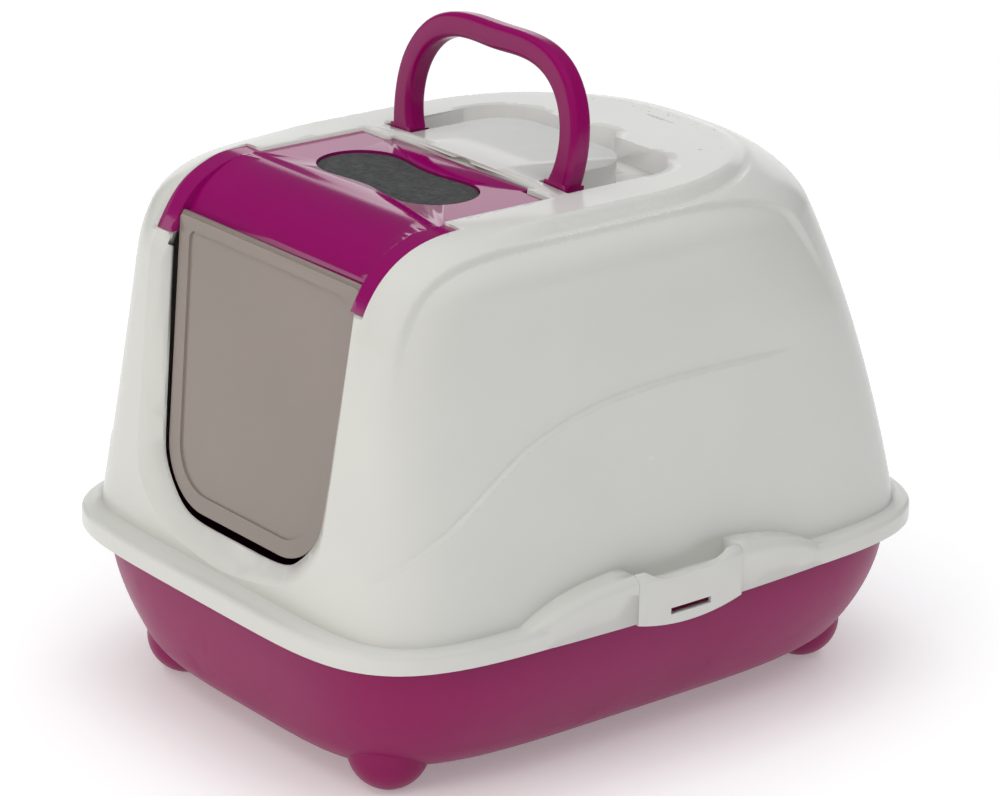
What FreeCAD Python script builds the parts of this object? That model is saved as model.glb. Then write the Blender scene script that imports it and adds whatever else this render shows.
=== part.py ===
import FreeCAD, Part
import math
import os

# Hooded cat litter box, in millimetres. The origin is on the floor under the middle of the box.
# The doorway faces -Y, +X is on the right for a person who looks at the doorway, and +Z is up.

V = FreeCAD.Vector

# ---- driving dimensions -------------------------------------------------------------------------
WALL = 3.0                      # moulded wall of the hood
GAP = 0.3                       # clearance between pieces that move past each other
PIN_CLEARANCE = 0.05            # radial running clearance of every hinge pin

RIM_HALF_WIDTH = 196.0          # plan of the hood's rim, a superellipse
RIM_HALF_LENGTH = 250.0
RIM_POWER = 5.25
RIM_BOTTOM = 108.0
RIM_SHELF = 118.0               # underside of the rim's shelf, which rests on the tray's lip
RIM_TOP = 121.0
RIM_ROUND = 4.0                 # rounding of the rim's top edge

BODY_BASE = 120.0               # height where the hood's walls leave the rim
DECK = 364.0                    # flat top of the hood
BODY_HALF_WIDTH = 182.5         # hood walls at their base
BODY_FRONT = 231.0
BODY_REAR = 235.0
FRONT_LEAN = 0.1125             # how far the front leans back for each millimetre of height
FRONT_ARCH_START = 300.0        # the front rolls over into the deck from here up
FRONT_ARCH_DEPTH = 60.0
SHOULDER_START = 330.0          # the sides and the rear roll over into the deck from here up
SHOULDER_WIDTH = 45.0
SHOULDER_REAR = 30.0

TRAY_FLOOR = 8.0                # underside of the tray's bottom
TRAY_TOP = RIM_SHELF
TRAY_WALL = 2.8
TRAY_BASE_HALF_WIDTH = 144.0
TRAY_BASE_HALF_LENGTH = 206.0
TRAY_FLARE_WIDTH = 46.0         # how far the tray's walls spread from bottom to top
TRAY_FLARE_LENGTH = 27.0
TRAY_FLARE_TOP = 105.0
TRAY_EDGE_RADIUS = 26.0
TRAY_LEVELS = (8.0, 8.8, 10.5, 13.5, 18.0, 25.0, 34.0, 50.0, 70.0, 90.0, TRAY_FLARE_TOP)
LIP_HEIGHT = 4.0                # outward lip at the top of the tray
LIP_GAP = 0.6                   # between the lip and the skirt of the hood's rim
FOOT_X = 113.0                  # middle of each foot
FOOT_Y = 178.5
FOOT_RADIUS = 27.0
FOOT_FLAT = 5.0                 # radius of the flat that a foot stands on

DISH_DEPTH = 11.0               # the doorway sits at the bottom of a shallow dish in the front
DISH_MIDDLE_Z = 230.0           # height that the dish's outline grows away from
VISOR_HALF_WIDTH = 112.6
VISOR_REAR_HALF_WIDTH = 97.0
VISOR_THICKNESS = 3.0
VISOR_LEG_BOTTOM = 319.5
VISOR_CHEEK_INNER = 96.7        # inner faces of the two legs that carry the door
VISOR_CHEEK_OUTER = 99.7
VISOR_TOP = 361.9
VISOR_RECESS = 7.5              # how far its middle is set back between the legs, fading out upwards
VISOR_JOG_Y = -128.0            # behind this the visor narrows to its rear half-width
VISOR_AXIS = V(0, -39.5, 359.3)
VISOR_BARREL_RADIUS = 2.6
VISOR_PIN_RADIUS = 1.5
VISOR_PIN_REACH = 3.0           # how far its pins go into the blocks beside the hinge
VISOR_LIP_BOTTOM = 332.0        # front edge of its middle panel, over the door
SEAT_GAP = 0.6                  # clearance all round the visor in its seat
LEDGE = 3.6                     # depth of the seat that the visor lies on

DOOR_AXIS = V(0, -188.6, 331.2)
DOOR_LEAN_DEG = -6.55
DOOR_TOP_HALF_WIDTH = 96.0
DOOR_BOTTOM_HALF_WIDTH = 83.5
DOOR_HEIGHT = 189.0
DOOR_FRONT = -4.0               # face of its border, in front of its hinge
DOOR_CORNER = 44.0
DOOR_BORDER = 11.5
DOOR_PIN_RADIUS = 2.0

HANDLE_AXIS = V(0, -19.0, 357.0)
HANDLE_LEAN_DEG = -8.0          # the raised handle leans back by this much
HANDLE_DEPTH = 16.0
HANDLE_PIN_RADIUS = 3.5
HANDLE_ROUND = 4.5

GROOVE_HALF_WIDTH = 96.0        # D-shaped groove in the deck that the folded handle lies in
GROOVE_REAR = 80.5
GROOVE_CORNER = 40.0
GROOVE_FLOOR = 348.0
GROOVE_FRONT_CORNER = 0.5
FINGER_NOTCH_RADIUS = 16.0      # round notch in the middle of the groove's rear edge
FINGER_NOTCH_Y = 74.5
ISLAND_HALF_WIDTH = 66.0
ISLAND_REAR = 55.0
ISLAND_CORNER = 30.0
BLOCK_INNER = 71.0              # blocks of the deck in front of the handle's feet
BLOCK_FRONT = -44.6
BLOCK_CHAMFER = 5.0
BLOCK_SWEEP = 5.4               # its front is rounded about the visor's hinge, which swings past it
BAR_FRONT = -36.0               # front edge of the bar between the visor and the handle
BAR_REAR = -27.8
BAR_RISE = 2.2                  # crown of the bar and island above the deck
SLIT_HALF_WIDTH = 17.5          # finger slit under the middle of the bar, for lifting the visor
SLIT_RADIUS = 60.0
SLIT_HEIGHT = 2.6

HOUSING_ROUND = 6.5             # rounding of the rim's swelling beside each clip
HOUSING_BOW = 199.2             # how far out the swelling comes in its middle
HOUSING_END = 195.8             # and where its bowed face ends
HOUSING_TAPER = 188.0           # and at the very ends of its tapers
HOUSING_INNER = 168.0
HOUSING_REACH = 110.0           # half-length of the bowed face
HOUSING_LENGTH = 141.0          # half-length with its tapers
HOUSING_END_Z = 114.6           # height at which the swelling dies into the rim
CLIP_Y = -2.0                   # middle of the side clips
CLIP_HALF_LENGTH = 44.0
CLIP_FACE = 199.5
CLIP_BACK = 193.0
CLIP_AXIS_X = 195.6
CLIP_AXIS_Z = 129.6
CLIP_ROOF_RADIUS = 8.0          # the outer face curves inwards towards the top
CLIP_ROOF_Z = 131.8
CLIP_PIN_RADIUS = 1.8
CLIP_PLATE = 2.6
CLIP_BOW = 0.6                  # how much further out the middle of its face is than its ends
CLIP_CORNER_Z = 106.5           # lower corners, and the lowest point between them
CLIP_BOTTOM_Z = 100.6
CLIP_EAR_Z = 139.6
CLIP_DIP_Z = 133.2              # top edge between the ears
CLIP_SLOT_HALF_LENGTH = 17.0
CLIP_SLOT_LOW = 107.8
CLIP_SLOT_HIGH = 112.3
CLIP_PIN_REACH = 3.0            # how far each pin stands out of the clip's end
CLIP_POCKET_FLOOR = 127.5       # behind the clip the rim is open above this, so that its ears can turn in

FILTER_Y = -90.0
FILTER_HALF_WIDTH = 67.5
FILTER_HALF_DEPTH = 30.0
FILTER_WAIST = 4.0              # how far the window's long sides draw in at the middle
COLLAR_INNER = 2.6              # wall under the window that the pad and its retainer snap into
COLLAR_OUTER = 4.6
COLLAR_LOW = VISOR_TOP - 7.5
PAD_LOW = VISOR_TOP - 6.0
PAD_EDGE = 2.2                  # how far the pad reaches under the visor beyond the window
PAD_SUNK = 0.8                  # its face below the visor's
RETAINER_LOW = VISOR_TOP - 9.5
GRID_PITCH = 15.0
GRID_BAR = 1.25                 # half the width of a bar of the retainer's grid

DOOR_THICKNESS = 2.5
DOOR_DIP = 1.5                  # how far the pane is set back from its border
DOOR_BAR_RADIUS = 2.2
DOOR_END_GAP = 0.4              # between the ends of its pins and the visor

FAR = 300.0                     # beyond the object on every side, for cutting tools


# ---- outlines -----------------------------------------------------------------------------------
def roll(height, start, top):
    """0 up to the start height, then a quarter ellipse that reaches 1 at the top."""
    t = min(max((height - start) / (top - start), 0.0), 1.0)
    return 1.0 - math.sqrt(max(1.0 - t * t, 0.0))


def superellipse(half_width, front, rear, front_power, rear_power, z, count=88):
    """Closed plan outline with its own depth and corner sharpness towards the front and the rear."""
    points = []
    for i in range(count):
        angle = 2.0 * math.pi * i / count
        c = math.cos(angle)
        s = math.sin(angle)
        depth = rear if s > 0 else front
        power = rear_power if s > 0 else front_power
        radius = (abs(c / half_width) ** power + abs(s / depth) ** power) ** (-1.0 / power)
        points.append(V(radius * c, radius * s, z))
    curve = Part.BSplineCurve()
    curve.interpolate(Points=points, PeriodicFlag=True, Parameters=[float(i) for i in range(count + 1)])
    return Part.Wire([curve.toShape()])


def hood_outline(z, inset=0.0, at=None):
    """Plan of the hood's outer wall at a height, moved inwards by the inset and drawn at height at."""
    rise = max(z - BODY_BASE, 0.0)
    shoulder = roll(z, SHOULDER_START, DECK)
    half_width = BODY_HALF_WIDTH - 0.449 * rise ** 0.755 - SHOULDER_WIDTH * shoulder
    front = BODY_FRONT - FRONT_LEAN * rise - FRONT_ARCH_DEPTH * roll(z, FRONT_ARCH_START, DECK)
    rear = BODY_REAR - 0.0173 * rise ** 1.466 - SHOULDER_REAR * shoulder
    rear_power = 6.5 - 3.9 * (rise / (DECK - BODY_BASE)) ** 1.1
    return superellipse(half_width - inset, front - inset, rear - inset, 7.0, rear_power,
                        z if at is None else at)


def tray_outline(z, inset=0.0, at=None):
    """Plan of the tray's outer wall at a height."""
    t = min(max((z - TRAY_FLOOR) / (TRAY_FLARE_TOP - TRAY_FLOOR), 0.0), 1.0)
    flare = 1.0 - (1.0 - t) ** 1.95
    under = max(TRAY_EDGE_RADIUS - (z - TRAY_FLOOR), 0.0)
    edge = TRAY_EDGE_RADIUS - math.sqrt(max(TRAY_EDGE_RADIUS ** 2 - under ** 2, 0.0))
    half_width = TRAY_BASE_HALF_WIDTH + TRAY_FLARE_WIDTH * flare - edge - inset
    half_length = TRAY_BASE_HALF_LENGTH + TRAY_FLARE_LENGTH * flare - edge - inset
    power = 4.4 + 0.5 * t
    return superellipse(half_width, half_length, half_length, power, power, z if at is None else at)


def rim_prism(half_width, half_length, low, high):
    wire = superellipse(half_width, half_length, half_length, RIM_POWER, RIM_POWER, low)
    return Part.Face(wire).extrude(V(0, 0, high - low))


def rounded_polygon(points, radii, z=0.0):
    """Closed wire through 2-D corners, each rounded by its own radius."""
    edges = []
    count = len(points)
    ends = []
    for i in range(count):
        corner = V(points[i][0], points[i][1], z)
        before = V(points[i - 1][0], points[i - 1][1], z) - corner
        after = V(points[(i + 1) % count][0], points[(i + 1) % count][1], z) - corner
        before.normalize()
        after.normalize()
        half = math.acos(max(min(before.dot(after), 1.0), -1.0)) / 2.0
        reach = radii[i] / math.tan(half)
        bisector = before + after
        bisector.normalize()
        middle = corner + bisector * (radii[i] / math.sin(half) - radii[i])
        ends.append((corner + before * reach, middle, corner + after * reach, radii[i]))
    for i in range(count):
        start, middle, end, radius = ends[i]
        if radius > 0:
            edges.append(Part.Arc(start, middle, end).toShape())
        following = ends[(i + 1) % count][0]
        if (following - end).Length > 1e-6:
            edges.append(Part.LineSegment(end, following).toShape())
    return Part.Wire(edges)


def mirrored(points):
    """Adds the mirror image of an outline that starts on the middle line."""
    return [(-x, z) for x, z in reversed(points[1:])] + points


def spline_yz(points, x, first=None, last=None):
    curve = Part.BSplineCurve()
    places = [V(x, y, z) for y, z in points]
    if first:
        curve.interpolate(Points=places, InitialTangent=V(0, *first), FinalTangent=V(0, *last))
    else:
        curve.interpolate(Points=places)
    return curve


def block(x0, x1, y0, y1, z0, z1):
    return Part.makeBox(x1 - x0, y1 - y0, z1 - z0, V(x0, y0, z0))


def both_sides(shape):
    return [shape, shape.mirror(V(0, 0, 0), V(1, 0, 0))]


def cut_each(body, tools):
    """Cuts the tools one after another, which is sturdier than one joint cut on curved walls."""
    for tool in tools:
        body = body.cut(tool)
    return body


def fuse_each(body, pieces):
    for piece in pieces:
        body = body.fuse(piece)
    return body


def rod_x(centre, radius, x0, x1):
    return Part.makeCylinder(radius, x1 - x0, V(x0, centre.y, centre.z), V(1, 0, 0))


# ---- visor profile, seen from the side ----------------------------------------------------------
VISOR_PROFILE = [(-203.0, 312.0), (-193.6, 330.0), (-178.0, 348.4), (-158.6, 358.4), (-132.0, 361.9)]


def visor_curve(depth, recess=0.0):
    """The visor's side profile moved inwards by a depth, and by a recess that fades out upwards."""
    master = spline_yz(VISOR_PROFILE, 0.0, first=(0.40, 0.92), last=(1.0, 0.0))
    low, high = master.FirstParameter, master.LastParameter
    points = []
    steps = 12
    for i in range(steps + 1):
        t = i / steps
        u = low + (high - low) * t
        place = master.value(u)
        direction = master.tangent(u)[0]
        fade = max(1.0 - t / 0.92, 0.0)
        inwards = depth + recess * fade * fade * (3.0 - 2.0 * fade)
        points.append((place.y + direction.z * inwards, place.z - direction.y * inwards))
    return points


def profile_band(near, far, x0, x1, rear_y, near_recess=0.0, far_recess=0.0):
    """Solid between two offsets of the visor's profile, carried straight back to rear_y."""
    outer = visor_curve(near, near_recess)
    inner = visor_curve(far, far_recess)
    outer_curve = spline_yz(outer, x0).toShape()
    inner_curve = spline_yz(inner, x0).toShape()
    outer_end = V(x0, *outer[-1])
    inner_end = V(x0, *inner[-1])
    outer_rear = V(x0, rear_y, VISOR_TOP - near)
    inner_rear = V(x0, rear_y, VISOR_TOP - far)
    edges = [
        outer_curve,
        Part.LineSegment(outer_end, outer_rear).toShape(),
        Part.LineSegment(outer_rear, inner_rear).toShape(),
        Part.LineSegment(inner_rear, inner_end).toShape(),
        inner_curve,
        Part.LineSegment(V(x0, *inner[0]), V(x0, *outer[0])).toShape(),
    ]
    face = Part.Face(Part.Wire(Part.__sortEdges__(edges)))
    return face.extrude(V(x1 - x0, 0, 0))


# ---- doorway ------------------------------------------------------------------------------------
DOORWAY = [(0, 139.0), (38.7, 139.0), (63.7, 145.7), (82.0, 164.0), (88.6, 185.2), (93.0, 240.0),
           (98.7, 325.0), (99.8, 350.0)]
DISH = [(0, 120.0), (46.0, 125.0), (76.0, 135.5), (96.0, 158.0), (103.6, 184.0), (107.6, 238.0),
        (112.6, 325.0), (113.6, 350.0)]


def front_y(z):
    """Place of the hood's sloping front on its middle line."""
    return -(BODY_FRONT - FRONT_LEAN * (z - BODY_BASE))


def dish_wire(depth, grow=0.0):
    """Outline of the dish at a depth behind the front, grown outwards by the wall thickness."""
    share = 1.0 - depth / DISH_DEPTH
    half = []
    for (x_in, z_in), (x_out, z_out) in zip(DOORWAY, DISH):
        x = x_in + (x_out - x_in) * share
        z = z_in + (z_out - z_in) * share
        reach = math.hypot(x, z - DISH_MIDDLE_Z)
        half.append((x + grow * x / reach, z + grow * (z - DISH_MIDDLE_Z) / reach))
    half[0] = (0, half[0][1])
    points = [V(x, front_y(z) + depth, z) for x, z in mirrored(half)]
    curve = Part.BSplineCurve()
    curve.interpolate(Points=points, Parameters=[float(i) for i in range(len(points))])
    return Part.Wire([curve.toShape(), Part.LineSegment(points[-1], points[0]).toShape()])


def dish_solid(grow=0.0):
    """Tapered space of the dish, from in front of the hood back to the doorway's edge."""
    dish = Part.makeLoft([dish_wire(-6.0, grow), dish_wire(DISH_DEPTH + grow, grow)], True, True)
    return dish.cut(block(-FAR, FAR, -FAR, 0, 0, RIM_TOP + 0.2 - grow))


def doorway_prism():
    wire = dish_wire(DISH_DEPTH)
    return Part.Face(wire).extrude(V(0, 60.0, 0))


# ---- tray ---------------------------------------------------------------------------------------
def feet(radius, bottom):
    """Four spheres about the middles of the feet, cut level at a height above the floor."""
    middle = math.sqrt(FOOT_RADIUS ** 2 - FOOT_FLAT ** 2)
    below = block(-FAR, FAR, -FAR, FAR, -FAR, bottom)
    domes = []
    for x in (-FOOT_X, FOOT_X):
        for y in (-FOOT_Y, FOOT_Y):
            domes.append(Part.makeSphere(radius, V(x, y, middle)).cut(below))
    return domes


def tray():
    """Litter tray: flared walls, rounded bottom edge, four dome feet and a lip that carries the hood."""
    levels = list(TRAY_LEVELS) + [TRAY_TOP]
    outer = Part.makeLoft([tray_outline(z) for z in levels], True, False)
    inside = [z + TRAY_WALL for z in TRAY_LEVELS] + [TRAY_TOP + 2.0]
    hollow = Part.makeLoft([tray_outline(z - TRAY_WALL, TRAY_WALL, z) for z in inside], True, False)
    inset = WALL + LIP_GAP
    lip = rim_prism(RIM_HALF_WIDTH - inset, RIM_HALF_LENGTH - inset, TRAY_TOP - LIP_HEIGHT, TRAY_TOP)
    body = fuse_each(outer.fuse(lip), feet(FOOT_RADIUS, 0.0))
    return cut_each(body, [hollow] + feet(FOOT_RADIUS - TRAY_WALL, TRAY_WALL))


# ---- hood ---------------------------------------------------------------------------------------
# Top edge of the swelling beside each clip, seen from the side, between its two ends.
HOUSING_CREST = [(-143.0, HOUSING_END_Z), (-128.0, 122.0), (-111.0, 129.0), (-88.0, 135.2), (-58.0, 138.8),
                 (0.0, 140.2), (58.0, 138.4), (88.0, 133.0), (110.0, 125.0), (126.0, HOUSING_END_Z)]


def housing(side):
    """Swelling of the rim at one side, which carries a clip. Side is 1 for +X and -1 for -X."""
    root = side * (HOUSING_INNER - 18.0)
    front = HOUSING_CREST[0][0]
    rear = HOUSING_CREST[-1][0]
    edges = [spline_yz(HOUSING_CREST, root).toShape()]
    corners = [V(root, rear, HOUSING_END_Z), V(root, rear, RIM_BOTTOM), V(root, front, RIM_BOTTOM),
               V(root, front, HOUSING_END_Z)]
    for here, there in zip(corners, corners[1:]):
        edges.append(Part.LineSegment(here, there).toShape())
    swell = Part.Face(Part.Wire(edges)).extrude(V(side * 60, 0, 0))
    outline = [(HOUSING_END, HOUSING_REACH), (HOUSING_TAPER, HOUSING_LENGTH),
               (HOUSING_INNER, HOUSING_LENGTH), (HOUSING_INNER, -HOUSING_LENGTH),
               (HOUSING_TAPER, -HOUSING_LENGTH), (HOUSING_END, -HOUSING_REACH)]
    corners = [V(side * x, CLIP_Y + y, RIM_BOTTOM) for x, y in outline]
    plan = [Part.Arc(corners[-1], V(side * HOUSING_BOW, CLIP_Y, RIM_BOTTOM), corners[0]).toShape()]
    for here, there in zip(corners, corners[1:]):
        plan.append(Part.LineSegment(here, there).toShape())
    swell = swell.common(Part.Face(Part.Wire(plan)).extrude(V(0, 0, 40)))
    outside = [e for e in swell.Edges if abs(e.BoundBox.Center.x) > HOUSING_TAPER + 6]
    swell = swell.makeFillet(HOUSING_ROUND, [e for e in outside if e.BoundBox.ZMax > 135])
    reach = CLIP_HALF_LENGTH + GAP
    return swell.cut(block(-FAR, FAR, CLIP_Y - reach, CLIP_Y + reach, CLIP_POCKET_FLOOR, DECK))


def groove_outline(grow=0.0):
    w = GROOVE_HALF_WIDTH + grow
    r = GROOVE_CORNER + grow
    corners = [(-w, BAR_REAR - grow), (w, BAR_REAR - grow), (w, GROOVE_REAR + grow), (-w, GROOVE_REAR + grow)]
    return rounded_polygon(corners, [GROOVE_FRONT_CORNER, GROOVE_FRONT_CORNER, r, r])


def island_outline():
    w = ISLAND_HALF_WIDTH
    front = BAR_REAR - 2.0
    corners = [(-w, front), (w, front), (w, ISLAND_REAR), (-w, ISLAND_REAR)]
    return rounded_polygon(corners, [0, 0, ISLAND_CORNER, ISLAND_CORNER])


def prism(wire, low, high):
    face = Part.Face(wire)
    face.translate(V(0, 0, low))
    return face.extrude(V(0, 0, high - low))


def crown(low):
    """Gently arched top of the bar and island, from side to side."""
    w = VISOR_REAR_HALF_WIDTH
    y = BAR_FRONT
    edges = [
        Part.Arc(V(-w, y, DECK), V(0, y, DECK + BAR_RISE), V(w, y, DECK)).toShape(),
        Part.LineSegment(V(w, y, DECK), V(w, y, low)).toShape(),
        Part.LineSegment(V(w, y, low), V(-w, y, low)).toShape(),
        Part.LineSegment(V(-w, y, low), V(-w, y, DECK)).toShape(),
    ]
    return Part.Face(Part.Wire(edges)).extrude(V(0, ISLAND_REAR - y + 5, 0))


def finger_notch(grow=0.0):
    return Part.makeCylinder(FINGER_NOTCH_RADIUS + grow, 30, V(0, FINGER_NOTCH_Y, GROOVE_FLOOR - grow))


def hood_cavity():
    """Space inside the hood, less the material that stands into it."""
    heights = [100.0, BODY_BASE, 150.0, 190.0, 230.0, 265.0, 292.0, 312.0, 327.0, 339.0, 348.0, 354.5,
               358.6, 360.5, DECK - WALL]
    cavity = Part.makeLoft([hood_outline(z + WALL, WALL, z) for z in heights], True, False)
    seat_low = VISOR_TOP - 2 * LEDGE
    beside = VISOR_REAR_HALF_WIDTH + 2 * WALL
    hinge_low = VISOR_TOP - 10.0
    return cut_each(cavity, [
        dish_solid(WALL),
        profile_band(-20.0, 2 * LEDGE, -VISOR_HALF_WIDTH - 4.4, VISOR_HALF_WIDTH + 4.4, VISOR_JOG_Y),
        block(-beside, beside, VISOR_JOG_Y - 6, BAR_REAR, seat_low, DECK),
        block(-beside, beside, BLOCK_FRONT - 2.4, BAR_REAR, hinge_low, DECK),
        prism(groove_outline(WALL), GROOVE_FLOOR - WALL, DECK),
        finger_notch(WALL),
    ])


def clip_pins(radius, reach):
    """Pair of pins at the ends of a clip, out to a reach from its middle."""
    whole = Part.makeCylinder(radius, 2 * reach, V(CLIP_AXIS_X, CLIP_Y - reach, CLIP_AXIS_Z), V(0, 1, 0))
    inner = CLIP_HALF_LENGTH - 2.0
    return whole.cut(block(0, FAR, CLIP_Y - inner, CLIP_Y + inner, 0, FAR))


def clip_notch(side):
    """Place for one clip in the rim: a slot for its plate and a socket at each end."""
    reach = CLIP_HALF_LENGTH + GAP
    notch = block(CLIP_BACK - 2 * GAP, FAR, CLIP_Y - reach, CLIP_Y + reach, RIM_BOTTOM - 10,
                  CLIP_POCKET_FLOOR + 1)
    notch = notch.fuse(clip_pins(CLIP_PIN_RADIUS + PIN_CLEARANCE, CLIP_HALF_LENGTH + CLIP_PIN_REACH + 0.5))
    return notch if side > 0 else notch.mirror(V(0, 0, 0), V(1, 0, 0))


def foot_block(side):
    """Block of the deck beside the visor's hinge, with a chamfered inner corner and a rounded front."""
    outer = VISOR_REAR_HALF_WIDTH + 5
    corners = [(side * BLOCK_INNER, BAR_REAR), (side * BLOCK_INNER, BLOCK_FRONT + BLOCK_CHAMFER),
               (side * (BLOCK_INNER + BLOCK_CHAMFER), BLOCK_FRONT), (side * outer, BLOCK_FRONT),
               (side * outer, BAR_REAR)]
    whole = prism(rounded_polygon(corners, [0] * len(corners)), VISOR_TOP - 9, DECK + 6)
    swept = rod_x(VISOR_AXIS, BLOCK_SWEEP, -FAR, FAR)
    behind = block(-FAR, FAR, VISOR_AXIS.y, FAR, 0, 2 * FAR)
    under = block(-FAR, FAR, -FAR, FAR, 0, VISOR_AXIS.z)
    return whole.common(swept.fuse([behind, under]))


def block_clearance(side):
    """Corner of the visor's plate that is left out for one of those blocks."""
    inner = BLOCK_INNER - SEAT_GAP
    corner = block(inner, FAR, BLOCK_FRONT - SEAT_GAP, 0, 0, 2 * FAR)
    return corner if side > 0 else corner.mirror(V(0, 0, 0), V(1, 0, 0))


def visor_space():
    """Everything cut from the hood so that the visor can lie in its seat and lift out of it."""
    wide = VISOR_HALF_WIDTH + SEAT_GAP
    narrow = VISOR_REAR_HALF_WIDTH + SEAT_GAP
    way_half = VISOR_CHEEK_OUTER + 0.7
    rear_way_half = narrow - 8.6
    seat = profile_band(-25.0, LEDGE, -wide, wide, VISOR_JOG_Y)
    seat = seat.cut(block(-FAR, FAR, -FAR, 0, 0, VISOR_LEG_BOTTOM - SEAT_GAP))
    rear_seat = block(-narrow, narrow, VISOR_JOG_Y - 1, BAR_FRONT - 0.9, VISOR_TOP - LEDGE, DECK + 5)
    rear_seat = cut_each(rear_seat, [foot_block(1), foot_block(-1)])
    way = profile_band(LEDGE - 0.5, 60.0, -way_half, way_half, VISOR_JOG_Y)
    way = way.cut(block(-FAR, FAR, -150, 0, 0, 330))
    rear_way = block(-rear_way_half, rear_way_half, VISOR_JOG_Y - 3, BLOCK_FRONT - 5.4, GROOVE_FLOOR - 8,
                     DECK + 5)
    barrel = rod_x(VISOR_AXIS, VISOR_BARREL_RADIUS + 0.4, -BLOCK_INNER, BLOCK_INNER)
    pin_end = BLOCK_INNER + VISOR_PIN_REACH + 0.5
    pins = rod_x(VISOR_AXIS, VISOR_PIN_RADIUS + PIN_CLEARANCE, -pin_end, pin_end)
    return [seat, rear_seat, way, rear_way, barrel, pins]


def handle_sockets():
    """Holes for the handle's pins in the walls of the groove."""
    reach = GROOVE_HALF_WIDTH + WALL + 1
    inner = ISLAND_HALF_WIDTH + 8
    pins = rod_x(HANDLE_AXIS, HANDLE_PIN_RADIUS + PIN_CLEARANCE, -reach, reach)
    return pins.cut(block(-inner, inner, -FAR, FAR, 0, 2 * FAR))


def finger_slit():
    """Flat arched slit in the front of the bar, over the visor's rear edge."""
    y = BAR_FRONT - 1
    top = VISOR_TOP + SLIT_HEIGHT
    arch = Part.makeCylinder(SLIT_RADIUS, 8, V(0, y, top - SLIT_RADIUS), V(0, 1, 0))
    return arch.common(block(-SLIT_HALF_WIDTH, SLIT_HALF_WIDTH, y, y + 7, VISOR_TOP - 0.5, top + 1))


def hood():
    """Upper half of the box: rim, walls, deck, doorway dish, visor seat, handle groove and clip notches."""
    heights = [RIM_SHELF, 150.0, 190.0, 230.0, 265.0, 295.0, 315.0, 330.0, 342.0, 351.0, 357.5, 361.5,
               363.4, DECK]
    shell = Part.makeLoft([hood_outline(z) for z in heights], True, False)
    rim = rim_prism(RIM_HALF_WIDTH, RIM_HALF_LENGTH, RIM_BOTTOM, RIM_TOP)
    top_edge = [e for e in rim.Edges if e.BoundBox.ZMin > RIM_TOP - 0.01]
    rim = rim.makeFillet(RIM_ROUND, top_edge)
    body = shell.fuse(rim).fuse([housing(1), housing(-1)])
    skirt = rim_prism(RIM_HALF_WIDTH - WALL, RIM_HALF_LENGTH - WALL, RIM_BOTTOM - 5, RIM_SHELF)
    body = cut_each(body, [hood_cavity(), skirt, dish_solid(), doorway_prism()] + visor_space())
    floor = GROOVE_FLOOR - WALL
    island = prism(island_outline(), floor, DECK + 5).common(crown(floor))
    groove = prism(groove_outline(), GROOVE_FLOOR, DECK + 5)
    groove = groove.cut(prism(island_outline(), GROOVE_FLOOR - 8, DECK + 9))
    body = cut_each(body, [groove, finger_notch()])
    half = VISOR_REAR_HALF_WIDTH
    bar = crown(VISOR_TOP + 0.5).common(block(-half, half, BAR_FRONT, BAR_REAR, GROOVE_FLOOR, 2 * FAR))
    body = fuse_each(body, [island, bar])
    return cut_each(body, [handle_sockets(), finger_slit(), clip_notch(1), clip_notch(-1)])


# ---- visor, filter and door ---------------------------------------------------------------------
def peanut(grow, z):
    """Outline of the filter window: a long rounded shape that draws in at its waist."""
    w = FILTER_HALF_WIDTH + grow
    d = FILTER_HALF_DEPTH + grow
    waist = d - FILTER_WAIST
    side = w - d
    points = []
    for sign in (1, -1):
        points.append(V(0, FILTER_Y - sign * waist, z))
        points.append(V(sign * side * 0.55, FILTER_Y - sign * (waist + 0.55 * FILTER_WAIST), z))
        for degrees in (-80, -40, 0, 40, 80):
            a = math.radians(degrees)
            points.append(V(sign * (side + d * math.cos(a)), FILTER_Y + sign * d * math.sin(a), z))
        points.append(V(sign * side * 0.55, FILTER_Y + sign * (waist + 0.55 * FILTER_WAIST), z))
    curve = Part.BSplineCurve()
    curve.interpolate(Points=points, PeriodicFlag=True)
    return Part.Wire([curve.toShape()])


def peanut_prism(grow, low, high):
    return Part.Face(peanut(grow, low)).extrude(V(0, 0, high - low))


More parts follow.
